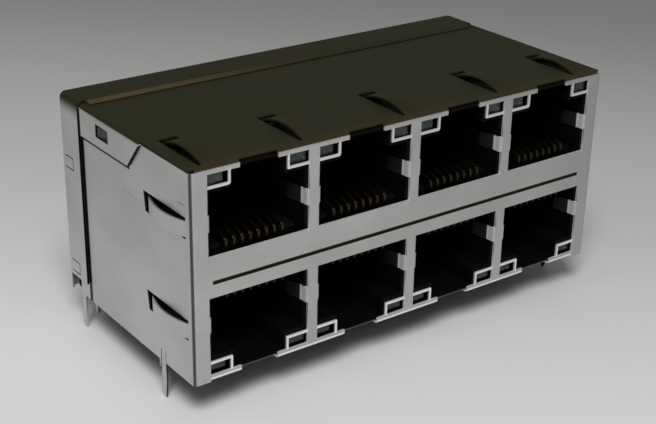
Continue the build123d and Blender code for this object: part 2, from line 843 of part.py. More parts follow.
# Pin organizer: the plate under the modules that keeps pins and lamp leads in line
with BuildPart() as pin_organizer:
    with BuildSketch(Plane.XY.offset(housing_bottom)):
        area((-housing_half + rear_wall + clearance, housing_half - rear_wall - clearance),
             (y_at(cavity_depth + back_wall + clearance), y_at(housing_end)))
        for column_x in column_xs:
            with Locations(*pin_places(column_x)):
                Rectangle(pin_side + 2 * pin_gap, pin_side + 2 * pin_gap, mode=Mode.SUBTRACT)
            with Locations(*[(lead_x, y_at(upper_lead_depth)) for lead_x, end in lead_xs(column_x)]):
                Rectangle(lead_side + 2 * pin_gap, lead_side + 2 * pin_gap, mode=Mode.SUBTRACT)
    extrude(amount=organizer_thickness)
    # Seat pads at the back, level with those of the housing
    with BuildSketch(Plane.XY):
        for x in bar_xs:
            area((x - rear_pad_width / 2, x + rear_pad_width / 2),
                 [y_at(housing_end - inset) for inset in rear_pad_insets])
    extrude(amount=housing_bottom)
publish(pin_organizer, "pin_organizer")
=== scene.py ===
"""Studio scene of a shielded two-row ethernet jack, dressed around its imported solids.

Pieces are shaped in millimetres and brought to the frame's metres when they are finished.
"""

import json
import logging
import math
from collections.abc import Callable, Iterable
from dataclasses import dataclass
from enum import Enum
from functools import cache, cached_property, partial
from itertools import combinations, product

import bpy
from mathutils import Matrix, Vector

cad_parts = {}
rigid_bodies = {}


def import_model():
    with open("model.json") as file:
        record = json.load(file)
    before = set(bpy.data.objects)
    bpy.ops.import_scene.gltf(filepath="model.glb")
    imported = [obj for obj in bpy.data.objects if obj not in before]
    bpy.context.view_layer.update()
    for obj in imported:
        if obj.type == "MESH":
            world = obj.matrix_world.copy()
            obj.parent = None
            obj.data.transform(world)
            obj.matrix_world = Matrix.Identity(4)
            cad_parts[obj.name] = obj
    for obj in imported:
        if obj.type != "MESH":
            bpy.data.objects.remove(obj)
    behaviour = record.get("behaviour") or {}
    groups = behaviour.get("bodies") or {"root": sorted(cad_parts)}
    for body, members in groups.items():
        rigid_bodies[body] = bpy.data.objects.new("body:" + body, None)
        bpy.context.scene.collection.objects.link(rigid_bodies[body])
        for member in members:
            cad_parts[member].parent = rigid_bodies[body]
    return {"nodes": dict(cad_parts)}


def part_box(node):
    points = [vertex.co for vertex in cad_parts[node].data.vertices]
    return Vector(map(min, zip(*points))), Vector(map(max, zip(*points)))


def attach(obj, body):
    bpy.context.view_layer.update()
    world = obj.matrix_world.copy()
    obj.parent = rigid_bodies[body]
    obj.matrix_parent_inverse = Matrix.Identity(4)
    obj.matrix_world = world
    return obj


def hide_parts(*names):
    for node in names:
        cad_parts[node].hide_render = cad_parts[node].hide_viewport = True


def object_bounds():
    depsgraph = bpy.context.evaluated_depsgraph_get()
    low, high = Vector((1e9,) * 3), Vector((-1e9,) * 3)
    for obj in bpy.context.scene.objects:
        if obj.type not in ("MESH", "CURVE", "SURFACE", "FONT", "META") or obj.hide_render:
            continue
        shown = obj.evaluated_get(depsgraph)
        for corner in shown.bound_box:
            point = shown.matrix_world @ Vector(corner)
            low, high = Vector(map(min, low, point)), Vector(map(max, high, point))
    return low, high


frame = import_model()
cad_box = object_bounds()

log = logging.getLogger("jack_scene")

MM = 0.001
BODY = "root"
COLUMNS = 4
NUMBERS = range(1, COLUMNS + 1)
ROWS = ("upper", "lower")
SIDES = (("left", -1), ("right", 1))
SNAP = 0.01
FOLD_LIMIT = 31.0
SMOOTH_LIMIT = 35.0
NARROW_WEDGE = 50.0
Colour = tuple[float, float, float]
Span = tuple[float, float]
Test = Callable[[Vector, Vector], bool]
Piece = bpy.types.Object
Material = bpy.types.Material
Link = bpy.types.NodeSocket


@cache
def box_mm(node: str) -> tuple[Vector, Vector]:
    """Gives the lowest and highest corner of a solid, in millimetres."""
    low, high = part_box(node)
    return low / MM, high / MM


@dataclass(frozen=True)
class Shell:
    """Levels of the sheet metal shell that the finishes and pieces refer to, in millimetres."""

    sheet: float = 0.25
    cap_step: float = 0.31
    cap_front_from_back: float = 4.9
    standoff: float = 0.6
    housing_rise: float = 0.3
    first_column: float = -20.955
    port_pitch: float = 13.97
    opening_edge: float = 6.32
    frame_inner_edge: float = 3.42
    window_edge: float = 3.77
    window_inset: float = 0.8
    window_bottom: float = 2.13
    frame_bottom: float = 2.58
    slot_level: float = 12.4
    slot_half_height: float = 0.20
    slot_end: float = 26.75
    lip_height: float = 0.5
    lip_depth: float = 1.5
    flap_drop: float = 3.6
    flap_nick: Span = (10.0, 0.5)
    flap_slant: Span = (0.766, 0.643)
    flap_from: float = 12.6
    flap_to: float = 23.7
    flap_window: Span = (16.8, 19.7)
    flap_window_drop: Span = (1.0, 2.5)

    @property
    def half_width(self) -> float:
        """Outer half width of the front shield's side panels."""
        return box_mm("rear_shield")[1].x - self.cap_step

    @property
    def top(self) -> float:
        """Level of the top panel's outer face."""
        return box_mm("rear_shield")[1].z - self.cap_step

    @property
    def front(self) -> float:
        """Y of the front panel's outer face."""
        return box_mm("front_shield")[0].y

    @property
    def back(self) -> float:
        """Y of the outer face of the rear panel."""
        return box_mm("rear_shield")[1].y

    @property
    def cap_front(self) -> float:
        """Y of the front edge of the cap's side flanges."""
        return self.back - self.cap_front_from_back


SHELL = Shell()


# Shader arithmetic


class Value:
    """A number inside a shader, so that masks are written as plain arithmetic."""

    def __init__(self, graph: "Graph", socket: Link) -> None:
        """Wraps the output socket of a node."""
        self.graph = graph
        self.socket = socket

    def _join(self, operation: str, first: "Number", second: "Number") -> "Value":
        """Adds one Math node and gives its result."""
        node = self.graph.node("ShaderNodeMath", {"operation": operation}, {0: first, 1: second})
        return Value(self.graph, node.outputs[0])

    def __add__(self, other: "Number") -> "Value":
        """Adds a number or value."""
        return self._join("ADD", self, other)

    __radd__ = __add__

    def __sub__(self, other: "Number") -> "Value":
        """Takes a number or value away."""
        return self._join("SUBTRACT", self, other)

    def __rsub__(self, other: "Number") -> "Value":
        """Takes this value away from a number."""
        return self._join("SUBTRACT", other, self)

    def __mul__(self, other: "Number") -> "Value":
        """Multiplies by a number or value."""
        return self._join("MULTIPLY", self, other)

    __rmul__ = __mul__

    def __abs__(self) -> "Value":
        """Gives the size without the sign."""
        return self._join("ABSOLUTE", self, 0.0)

    def least(self, other: "Number") -> "Value":
        """Gives the smaller of two."""
        return self._join("MINIMUM", self, other)

    def most(self, other: "Number") -> "Value":
        """Gives the larger of two."""
        return self._join("MAXIMUM", self, other)

    def fold(self, half: float) -> "Value":
        """Runs to and fro between 0 and half a pitch, with 0 at each whole pitch."""
        return self._join("PINGPONG", self, half)

    def step(self, low: float, high: float) -> "Value":
        """Rises smoothly from 0 to 1 between two ends, or falls where low is the larger.

        Args:
            low: Where the result is 0.
            high: Where the result is 1.

        Returns:
            The smooth step.
        """
        settings = {"interpolation_type": "SMOOTHSTEP"}
        ends = {"Value": self, "From Min": low, "From Max": high}
        if low > high:
            ends = {"Value": self * -1.0, "From Min": -low, "From Max": -high}
        node = self.graph.node("ShaderNodeMapRange", settings, ends)
        return Value(self.graph, node.outputs["Result"])

    def band(self, low: float, high: float, soft: float) -> "Value":
        """Gives 1 between two ends and 0 outside them, with soft edges of a width."""
        return self.step(low - soft, low) * self.step(high + soft, high)


Number = Value | float


class Graph:
    """The node tree of one material, with its Principled shader."""

    def __init__(self, name: str) -> None:
        """Makes an empty material of that name.

        Args:
            name: Name of the material.
        """
        self.material = bpy.data.materials.new(name)
        self.material.use_nodes = True
        self.tree = self.material.node_tree
        self.shader = next(node for node in self.tree.nodes if node.type == "BSDF_PRINCIPLED")
        coordinates = self.node("ShaderNodeTexCoord")
        scaled = self.node("ShaderNodeVectorMath", {"operation": "SCALE"},
                           {"Vector": coordinates.outputs["Object"], "Scale": 1 / MM})
        self.place = scaled.outputs[0]
        parts = self.node("ShaderNodeSeparateXYZ", inputs={0: self.place})
        self.x, self.y, self.z = (Value(self, output) for output in parts.outputs)

    @cached_property
    def deep(self) -> Value:
        """Distance behind the front panel's face."""
        return self.y - SHELL.front

    @cached_property
    def drop(self) -> Value:
        """Distance below the top panel's face."""
        return SHELL.top - self.z

    @cached_property
    def out(self) -> Value:
        """Distance outside the faces of the side panels."""
        return abs(self.x) - SHELL.half_width

    @cached_property
    def inset(self) -> Value:
        """Distance from the nearer of the front panel's top and bottom."""
        return self.drop.least(self.z - SHELL.standoff)

    def node(self, kind: str, settings: dict | None = None, inputs: dict | None = None) -> bpy.types.Node:
        """Adds a node.

        Args:
            kind: The node's type.
            settings: Its own settings, such as an operation.
            inputs: Values or links of its sockets, by name or number.

        Returns:
            The new node.
        """
        node = self.tree.nodes.new(kind)
        for name, value in (settings or {}).items():
            setattr(node, name, value)
        for name, value in (inputs or {}).items():
            self.feed(node.inputs[name], value)
        return node

    def feed(self, socket: Link, value: object) -> None:
        """Links a value to a socket, or sets the socket to a constant.

        Args:
            socket: The socket to feed.
            value: A value, an output socket, a colour or a number.
        """
        if isinstance(value, Value):
            self.tree.links.new(value.socket, socket)
        elif isinstance(value, Link):
            self.tree.links.new(value, socket)
        elif socket.type == "RGBA":
            socket.default_value = (*value, 1.0)
        else:
            socket.default_value = value

    def scattered(self, kind: str, scale: Colour, output: str | int, **inputs: float) -> Value:
        """Adds a texture of the place.

        Args:
            kind: The texture node's type.
            scale: Features per millimetre along X, Y and Z.
            output: Which of its outputs is used.
            inputs: Its other inputs.

        Returns:
            The texture's value.
        """
        place = self.node("ShaderNodeVectorMath", {"operation": "MULTIPLY"}, {0: self.place, 1: scale})
        node = self.node(kind, inputs={"Vector": place.outputs[0], "Scale": 1.0, **inputs})
        return Value(self, node.outputs[output])

    def noise(self, scale: Colour, detail: float = 3.0, roughness: float = 0.5) -> Value:
        """Cloudy noise from 0 to 1, with so many octaves of finer noise of that strength."""
        return self.scattered("ShaderNodeTexNoise", scale, 0, Detail=detail, Roughness=roughness)

    def cells(self, scale: Colour) -> Value:
        """Distance to the nearest of scattered points, in cells."""
        return self.scattered("ShaderNodeTexVoronoi", scale, "Distance")

    def blend(self, share: Number, first: Colour | Link, second: Colour | Link) -> Link:
        """Mixes two colours: the first at a share of 0 and the second at 1."""
        node = self.node("ShaderNodeMix", {"data_type": "RGBA"}, {0: share, 6: first, 7: second})
        return node.outputs[2]

    def dress(self, **sockets: object) -> None:
        """Sets the Principled shader's sockets, named with underscores for spaces."""
        for name, value in sockets.items():
            self.feed(self.shader.inputs[name.replace("_", " ")], value)

    def relief(self, height: Value, depth: float, strength: float) -> None:
        """Bumps the surface.

        Args:
            height: Height from 0 to 1.
            depth: Depth of a step from 0 to 1, in millimetres.
            strength: Strength of the bump.
        """
        inputs = {"Strength": strength, "Distance": depth * MM, "Height": height}
        self.feed(self.shader.inputs["Normal"], self.node("ShaderNodeBump", inputs=inputs).outputs[0])


# Finishes


class Ground(Enum):
    """Base colours of the moulded pieces."""

    HOUSING = (0.0016, 0.0016, 0.0018)
    CARRIER = (0.0022, 0.0022, 0.0024)
    CASE = (0.022, 0.022, 0.024)
    ORGANIZER = (0.012, 0.012, 0.013)


class Finish:
    """A finish that dresses one new material of its name."""

    name: str

    @cached_property
    def graph(self) -> Graph:
        """Node tree of the material."""
        return Graph(self.name)

    def apply(self) -> None:
        """Dresses the shader."""
        raise NotImplementedError

    def material(self) -> Material:
        """Builds the finish and gives its material."""
        self.apply()
        return self.graph.material


@dataclass(frozen=True)
class Scratch:
    """A faint handling mark on a side panel, in millimetres behind the front and above the board."""

    deep: Span
    deep_fade: float
    level: Span
    level_fade: float
    strength: float

    def mask(self, deep: Value, level: Value) -> Value:
        """Gives the mark's mask from the distance behind the front and above the board."""
        along = deep.band(*self.deep, self.deep_fade)
        return along * level.band(*self.level, self.level_fade) * self.strength


@dataclass(frozen=True)
class PlatedSheet(Finish):
    """Satin tin-nickel plate on rolled sheet, with painted dark reflection on the top panel."""

    name: str
    # Level and softness where the painted dark reflection of the top begins
    reflection_level: float
    reflection_soft: float
    plate: Colour = (0.60, 0.60, 0.595)
    # Duller tone: random clouds, and painted shade towards the right-hand side
    dull: Colour = (0.50, 0.50, 0.495)
    # Painted highlight tone of the lips, window frames and finger roots
    bright: Colour = (0.95, 0.95, 0.94)
    scuffed: Colour = (0.34, 0.34, 0.33)
    # Dark tone of the painted shade in folds, gaps and hollows, and of the real scratches
    shade_and_scratch: Colour = (0.012, 0.011, 0.010)
    # Painted reflection: dark olive tone of the top, with warmer and paler painted reflection
    top_reflection: Colour = (0.0210, 0.0202, 0.0092)
    warm_reflection: Colour = (0.075, 0.055, 0.022)
    pale_reflection: Colour = (0.029, 0.026, 0.017)
    roughness: float = 0.36
    edge_blur: float = 0.06
    # Painted highlight strength on the window frames, everywhere and more low down, and on the finger roots
    frame_highlight: Span = (0.45, 0.25)
    root_highlight: float = 0.7
    # Painted shade strength on the folds, flap windows, fingers and cut edges
    fold_shade: float = 0.85
    window_dark: float = 0.88
    finger_dark: float = 0.81
    cut_dark: float = 0.93
    root_depth: Span = (0.26, 1.1)
    finger_depth: Span = (1.2, 7.0)
    spring_depth: Span = (1.2, 10.4)
    leaf_depth: Span = (1.2, 10.0)
    nick_depth: Span = (1.15, 1.75)
    nick_levels: tuple[Span, Span] = ((5.85, 6.10), (17.70, 17.95))
    scratches: tuple[Scratch, Scratch] = (Scratch((11.5, 14.0), 1.0, (18.38, 18.42), 0.05, 0.35),
                                          Scratch((1.4, 2.3), 0.4, (21.38, 21.44), 0.06, 0.60))

    def painted_highlights(self) -> Value:
        """Mask of the painted highlights on the lips, window frames and finger roots.

        Returns:
            The mask.
        """
        graph = self.graph
        deep, inset = graph.deep, graph.inset
        aside = (graph.x - SHELL.first_column).fold(SHELL.port_pitch / 2)
        post = aside.band(SHELL.frame_inner_edge, SHELL.window_edge, self.edge_blur)
        post = post * inset.band(SHELL.window_inset, SHELL.frame_bottom, self.edge_blur)
        strip = aside.band(SHELL.frame_inner_edge, SHELL.opening_edge, self.edge_blur)
        strip = strip * inset.band(SHELL.window_bottom, SHELL.frame_bottom, self.edge_blur)
        root = self.inside() * deep.band(*self.root_depth, 0.10)
        lip_top = SHELL.standoff + SHELL.lip_height
        lip = graph.z.step(lip_top + self.edge_blur, lip_top - self.edge_blur)
        lip = lip * deep.step(SHELL.lip_depth + 0.1, SHELL.lip_depth)
        last_edge = -SHELL.first_column + SHELL.opening_edge
        within = abs(graph.x).step(last_edge + 0.05, last_edge - 0.05)
        everywhere, low_down = self.frame_highlight
        frames = post.most(strip) * deep.step(0.40, 0.30) * (everywhere + low_down * graph.z.step(6.0, 4.0))
        return frames.most(root * self.root_highlight).most(lip) * within

    def inside(self) -> Value:
        """Mask of what lies between the side panels, below the top and above the lips."""
        inset = self.graph.inset.step(SHELL.frame_bottom + 0.5, SHELL.frame_bottom + 0.6)
        return self.graph.out.step(-0.5, -0.6) * inset

    def painted_gap_shade(self) -> Value:
        """Mask of the painted shade in gaps and hollows.

        It is painted shade in the seams round the flaps and in front of the cap, the flap windows, the
        fingers, the middle slot, the cut edges of the side leaf windows and the nicks in front of them.

        Returns:
            The mask.
        """
        graph = self.graph
        deep, drop, out = graph.deep, graph.drop, graph.out
        wall = out.step(-0.30, -0.20)
        under = drop.band(SHELL.flap_drop - 0.05, SHELL.flap_drop + 0.44, 0.03)
        under = under * deep.band(SHELL.flap_from, SHELL.flap_to + 0.3, 0.1)
        along, down = SHELL.flap_slant
        slant = along * (deep - SHELL.flap_nick[0]) - down * (drop - SHELL.flap_nick[1])
        slant = slant.band(-0.08, 0.02, 0.02) * drop.band(SHELL.flap_nick[1], SHELL.flap_drop + 0.2, 0.05)
        seam = deep.band(SHELL.flap_to - 0.28, SHELL.flap_to + 0.42, 0.02) * drop.step(0.30, 0.45)
        window = deep.band(*SHELL.flap_window, 0.02) * drop.band(*SHELL.flap_window_drop, 0.02)
        window = window * out.band(-0.3, 0.27, 0.01)
        fingers = self.inside() * deep.band(*self.finger_depth, 0.15)
        slot_low, slot_high = (SHELL.slot_level + side * SHELL.slot_half_height for side in (-1, 1))
        slot = graph.z.band(slot_low, slot_high, 0.05) * deep.step(0.30, 0.20)
        slot = slot * abs(graph.x).step(SHELL.slot_end + 0.2, SHELL.slot_end)
        leaf_cut = out.band(-0.25, -0.05, 0.02)
        leaf_cut = leaf_cut * deep.band(*self.leaf_depth, 0.1) * drop.step(1.0, 1.2)
        lower, upper = (graph.z.band(*levels, 0.04) for levels in self.nick_levels)
        nicks = lower.most(upper) * deep.band(*self.nick_depth, 0.1)
        # Painted shade in the seams round the flaps and in the nicks, on the side walls
        marks = under.most(seam).most(slant).most(nicks) * wall
        marks = marks.most(self.window_dark * window).most(self.finger_dark * fingers)
        return marks.most(self.cut_dark * slot).most(self.cut_dark * leaf_cut)

    def scratched(self) -> Value:
        """Mask of the handling marks on the side panels."""
        long_mark, short_mark = (mark.mask(self.graph.deep, self.graph.z) for mark in self.scratches)
        return long_mark.most(short_mark) * self.graph.out.step(-0.10, -0.05)

    def apply(self) -> None:
        """Dresses the shader."""
        graph = self.graph
        clouds = graph.noise((0.09, 0.09, 0.12), 4.0)
        grain = graph.noise((0.10, 0.10, 9.0), 2.0, 0.6)
        top_grain = graph.noise((0.10, 8.0, 0.2), 2.0, 0.6)
        specks = graph.cells((2.6, 2.6, 2.6)).step(0.16, 0.05)
        scuffs = graph.noise((0.5, 0.5, 2.4), 5.0, 0.7).step(0.60, 0.70)
        # Painted dark reflection on the top panel and on the top springs
        top = graph.z.step(self.reflection_level, self.reflection_level + self.reflection_soft)
        springs = graph.drop.step(1.0, 0.9) * graph.deep.band(*self.spring_depth, 0.2)
        top = top.most(springs * graph.out.step(-0.4, -0.5))

        # Painted shade: a dark line along the upright folds of the front corners
        fold = graph.out.step(-0.34, -0.20) * graph.deep.step(0.38, 0.24)
        # Painted shade: the plate turns duller towards the right-hand side
        painted_far_shade = graph.x.step(6.0, SHELL.half_width)

        sheet = graph.blend(clouds.step(0.30, 0.72) * (1.0 - 0.8 * painted_far_shade), self.dull, self.plate)
        sheet = graph.blend(0.10 * grain + 0.12 * specks + 0.10 * scuffs, sheet, self.scuffed)
        # Painted highlight on the lips, window frames and finger roots
        painted_highlights = self.painted_highlights()
        sheet = graph.blend(painted_highlights, sheet, self.bright)
        # Painted shade in the folds, gaps and hollows, with the real handling scratches
        dark = (self.fold_shade * fold).most(self.painted_gap_shade()).most(self.scratched())
        sheet = graph.blend(dark, sheet, self.shade_and_scratch)

        # Painted dark reflection on the top: warmer painted reflection along the front fold and on the
        # pressed lip of the rear cap
        front_reflection = graph.deep.step(2.4, 0.2) * 0.18
        lip = graph.y.band(SHELL.cap_front - 1.05, SHELL.cap_front - 0.35, 0.30)
        lip = lip * graph.drop.step(-0.02, -0.10)
        lip_fade = graph.x.step(4.0, -SHELL.half_width + 6.0)
        warm_reflection_mask = front_reflection.most(lip * lip_fade) * (0.75 + 0.25 * top_grain)
        top_reflection = graph.blend(warm_reflection_mask, self.top_reflection, self.warm_reflection)
        top_reflection = graph.blend(clouds.step(0.42, 0.70) * 0.22, top_reflection, self.pale_reflection)
        graph.dress(
            Base_Color=graph.blend(top, sheet, top_reflection),
            Metallic=1.0 - 0.78 * top - 0.60 * painted_highlights,
            Roughness=self.roughness + 0.10 * clouds + 0.05 * specks + 0.12 * top,
            Specular_IOR_Level=0.03,
        )
        graph.relief(0.5 * grain * (1.0 - top) + 0.4 * top_grain * top + 0.25 * clouds, 0.006, 0.55)


@dataclass(frozen=True)
class CutEdge(Finish):
    """Sheared edges and folded lips with a painted highlight: a bright tone that stands in for the light
    they catch.
    """

    name: str = "highlight_edge"
    # Painted highlight tone of the edges
    bright: Colour = (0.86, 0.86, 0.85)
    nicked: Colour = (0.60, 0.60, 0.585)

    def apply(self) -> None:
        """Dresses the shader."""
        graph = self.graph
        shear = graph.noise((3.0, 14.0, 3.0), 3.0, 0.6)
        nicks = graph.noise((0.7, 0.7, 0.7), 4.0, 0.6).step(0.50, 0.68)
        tone = graph.blend(0.45 * nicks + 0.30 * shear, self.bright, self.nicked)
        graph.dress(Base_Color=tone, Metallic=0.62, Roughness=0.30 + 0.16 * nicks)
        graph.relief(shear, 0.010, 0.6)


@dataclass(frozen=True)
class Moulding(Finish):
    """Glass-filled black moulding: fine spark-eroded grain, flow marks, a dull sheen and a paler line along
    the front of its foot.
    """

    name: str
    ground: Ground
    roughness: float = 0.52
    grain: float = 11.0
    pale_foot: Colour = (0.16, 0.16, 0.155)
    foot: Span = (0.26, 0.20)
    foot_depth: Span = (1.4, 1.0)

    def apply(self) -> None:
        """Dresses the shader."""
        graph = self.graph
        grain = graph.noise((self.grain, self.grain, self.grain), 3.0, 0.6)
        flow = graph.noise((0.12, 0.5, 0.16), 4.0)
        fibres = graph.noise((1.2, 14.0, 14.0), 2.0).step(0.62, 0.72)
        pale = tuple(2.0 * part for part in self.ground.value)
        tone = graph.blend(0.55 * flow + 0.30 * fibres, self.ground.value, pale)
        foot = graph.z.step(*(SHELL.standoff + SHELL.housing_rise + rise for rise in self.foot))
        foot = foot * graph.deep.step(*self.foot_depth)
        graph.dress(
            Base_Color=graph.blend(foot, tone, self.pale_foot),
            Metallic=0.0,
            Roughness=self.roughness + 0.14 * grain - 0.08 * flow,
            Specular_IOR_Level=0.05,
        )
        graph.relief(grain + 0.5 * fibres, 0.012, 0.5)


@dataclass(frozen=True)
class WireGold(Finish):
    """Gold flash on drawn contact wire, darkened by painted shade: brightest where the plug wipes, with
    drawing lines along it.
    """

    name: str = "gold_flash"
    # Painted shade: the gold is darkened to its tone in the socket's shade, and further deeper in
    shaded_gold: Colour = (0.058, 0.044, 0.024)
    nickel: Colour = (0.20, 0.18, 0.15)
    tarnish: Colour = (0.045, 0.030, 0.016)
    shade: Colour = (0.004, 0.003, 0.002)
    shaded: Span = (1.9, 3.0)
    wiped_to: float = 2.0

    def apply(self) -> None:
        """Dresses the shader."""
        graph = self.graph
        drawn = graph.noise((16.0, 0.3, 5.0), 2.0)
        clouds = graph.noise((0.8, 0.8, 0.8), 4.0, 0.6)
        plated = graph.y.step(self.wiped_to + 1.6, self.wiped_to)
        tone = graph.blend(plated, self.nickel, self.shaded_gold)
        tone = graph.blend(clouds.step(0.45, 0.75) * 0.5, tone, self.tarnish)
        tone = graph.blend(graph.deep.step(*self.shaded) * 0.75, tone, self.shade)
        graph.dress(Base_Color=tone, Metallic=1.0, Roughness=0.24 + 0.16 * clouds + 0.08 * drawn)
        graph.relief(drawn, 0.006, 0.5)


@dataclass(frozen=True)
class Tinned(Finish):
    """Dull tin on pins, leads and posts, smeared along the wire."""

    name: str = "dull_tin"
    tin: Colour = (0.66, 0.66, 0.64)
    grey: Colour = (0.38, 0.38, 0.37)

    def apply(self) -> None:
        """Dresses the shader."""
        graph = self.graph
        smear = graph.noise((5.0, 5.0, 0.9), 4.0, 0.6)
        spots = graph.cells((2.2, 2.2, 2.2)).step(0.30, 0.10)
        tone = graph.blend(0.7 * smear + 0.2 * spots, self.tin, self.grey)
        graph.dress(Base_Color=tone, Metallic=1.0, Roughness=0.30 + 0.22 * smear)
        graph.relief(smear, 0.015, 0.5)


@dataclass(frozen=True)
class SmokedLens(Finish):
    """Clear lamp body with a grey tint, slightly streaked from moulding."""

    name: str = "smoked_lens"
    tint: Colour = (0.060, 0.066, 0.072)
    haze: Colour = (0.024, 0.026, 0.029)
    clear: float = 0.25
    refraction: float = 1.5

    def apply(self) -> None:
        """Dresses the shader."""
        graph = self.graph
        streaks = graph.noise((0.6, 0.2, 1.4), 3.0)
        tone = graph.blend(streaks.step(0.35, 0.60), self.tint, self.haze)
        graph.dress(Base_Color=tone, Metallic=0.0, Roughness=0.16 + 0.08 * streaks,
                    Transmission_Weight=self.clear, IOR=self.refraction)
        graph.relief(streaks, 0.004, 0.4)


@dataclass(frozen=True)
class RolledPlate(Finish):
    """Bare rolled copper alloy of the middle ground plate, browned by heat along its edge."""

    name: str = "rolled_plate"
    metal: Colour = (0.06, 0.046, 0.030)
    brown: Colour = (0.014, 0.010, 0.006)

    def apply(self) -> None:
        """Dresses the shader."""
        graph = self.graph
        rolled = graph.noise((0.2, 6.0, 6.0), 3.0)
        browned = graph.noise((0.3, 0.3, 0.3), 4.0).most(graph.deep.step(1.2, 0.3))
        tone = graph.blend(0.25 * rolled + 0.6 * browned, self.metal, self.brown)
        graph.dress(Base_Color=tone, Metallic=1.0, Roughness=0.38 + 0.12 * rolled)
        graph.relief(rolled, 0.006, 0.5)


@dataclass(frozen=True)
class SolderMask(Finish):
    """Green board: raised tracks under the mask and bare laminate along the routed edges."""

    name: str = "solder_mask"
    mask: Colour = (0.010, 0.095, 0.030)
    track: Colour = (0.018, 0.165, 0.055)
    laminate: Colour = (0.33, 0.28, 0.13)
    pitch: float = 1.016

    def apply(self) -> None:
        """Dresses the shader."""
        graph = self.graph
        ripple = graph.x.fold(self.pitch / 2)
        wander = graph.noise((0.35, 1.0, 0.35), 2.0)
        lines = (ripple + 0.35 * wander).step(0.30, 0.36)
        weave = graph.noise((3.0, 3.0, 3.0), 2.0)
        low, high = (corner.y for corner in box_mm("board_1"))
        half = (high - low) / 2
        face = abs(graph.y - (low + high) / 2).step(half - 0.06, half - 0.02)
        tone = graph.blend(0.75 * lines + 0.15 * weave, self.mask, self.track)
        graph.dress(
            Base_Color=graph.blend(1.0 - face, tone, self.laminate),
            Metallic=0.0,
            Roughness=0.30 + 0.15 * weave + 0.25 * (1.0 - face),
        )
        graph.relief(lines * face + 0.3 * weave, 0.03, 0.6)


@dataclass(frozen=True)
class ChipBody(Finish):
    """Fired chip parts: a dark body between tinned end caps, split by height into its two kinds."""

    name: str = "chip_body"
    resistor: Colour = (0.022, 0.022, 0.025)
    capacitor: Colour = (0.33, 0.20, 0.10)
    cap: Colour = (0.62, 0.62, 0.60)
    glazed: Colour = (0.10, 0.08, 0.07)
    resistors_from_top: float = 2.4
    caps_from_top: float = 0.9

    def apply(self) -> None:
        """Dresses the shader."""
        graph = self.graph
        low, high = (corner.z for corner in box_mm("chip_parts_1"))
        glaze = graph.noise((2.0, 2.0, 2.0), 3.0)
        upper = graph.z.step(high - self.resistors_from_top - 0.2, high - self.resistors_from_top)
        caps = abs(graph.z - (high - self.caps_from_top)).step(0.55, 0.60) * upper
        caps = caps.most(graph.z.step(low + 0.35, low + 0.30) * (1.0 - upper))
        body = graph.blend(upper, self.capacitor, self.resistor)
        body = graph.blend(0.25 * glaze, body, self.glazed)
        graph.dress(Base_Color=graph.blend(caps, body, self.cap), Metallic=0.9 * caps,
                    Roughness=0.34 + 0.2 * glaze)
        graph.relief(glaze, 0.01, 0.4)


@dataclass(frozen=True)
class Coated(Finish):
    """A thin coat over two clouded tones, at first the enamel of winding wire."""

    name: str
    first: Colour
    second: Colour
    metallic: float = 0.65
    roughness: Span = (0.24, 0.18)
    scale: float = 1.5
    octaves: Span = (3.0, 0.5)
    bump: Span = (0.01, 0.4)

    def apply(self) -> None:
        """Dresses the shader."""
        graph = self.graph
        clouds = graph.noise((self.scale, self.scale, self.scale), *self.octaves)
        smooth, rough = self.roughness
        tone = graph.blend(clouds, self.first, self.second)
        graph.dress(Base_Color=tone, Metallic=self.metallic, Roughness=smooth + rough * clouds)
        graph.relief(clouds, *self.bump)


@dataclass(frozen=True)
class PaleTable(Finish):
    """Pale matt table with painted shade that darkens it with distance behind the jack."""

    name: str = "pale_table"
    # Painted shade: the tone falls from near to middle to far behind the jack
    near: Colour = (0.60, 0.605, 0.595)
    middle: Colour = (0.47, 0.47, 0.466)
    far: Colour = (0.262, 0.262, 0.258)
    along: Span = (0.597, 0.802)
    aside_share: float = 0.24
    near_fade: Span = (-22.0, 48.0)
    far_fade: Span = (25.0, 165.0)

    def apply(self) -> None:
        """Dresses the shader."""
        graph = self.graph
        behind = self.along[0] * graph.x + self.along[1] * graph.y
        aside = self.along[1] * graph.x - self.along[0] * graph.y
        paper = graph.noise((0.02, 0.02, 0.02), 3.0)
        depth = behind + self.aside_share * aside
        first = graph.blend(depth.step(*self.near_fade), self.near, self.middle)
        tone = graph.blend(depth.step(*self.far_fade), first, self.far)
        graph.dress(Base_Color=tone, Metallic=0.0, Roughness=0.55 + 0.2 * paper, Specular_IOR_Level=0.25)


# Modelling

deselect = partial(bpy.ops.object.select_all, action="DESELECT")
select_mesh = partial(bpy.ops.mesh.select_all, action="SELECT")


def alone(piece: Piece) -> None:
    """Makes one object the only selected and active one."""
    deselect()
    piece.select_set(True)
    bpy.context.view_layer.objects.active = piece


def added(name: str, data: bpy.types.ID) -> Piece:
    """Adds an object with that data to the scene.

    Args:
        name: Name of the object.
        data: Its mesh, light or camera.

    Returns:
        The object.
    """
    piece = bpy.data.objects.new(name, data)
    bpy.context.scene.collection.objects.link(piece)
    return piece


def choose_faces(piece: Piece, test: Test) -> None:
    """Selects only the faces of a mesh that pass a test.

    Args:
        piece: The object, in object mode.
        test: Takes a face's centre and normal.
    """
    mesh = piece.data
    for item in (*mesh.vertices, *mesh.edges):
        item.select = False
    for face in mesh.polygons:
        face.select = test(face.center, face.normal)


def in_edit_mode(piece: Piece, steps: Callable[[], None]) -> None:
    """Runs edit-mode steps on the faces that are selected in a piece.

    Args:
        piece: The piece, in object mode.
        steps: Takes the steps.
    """
    alone(piece)
    bpy.ops.object.mode_set(mode="EDIT")
    bpy.ops.mesh.select_mode(type="FACE")
    steps()
    bpy.ops.object.mode_set(mode="OBJECT")


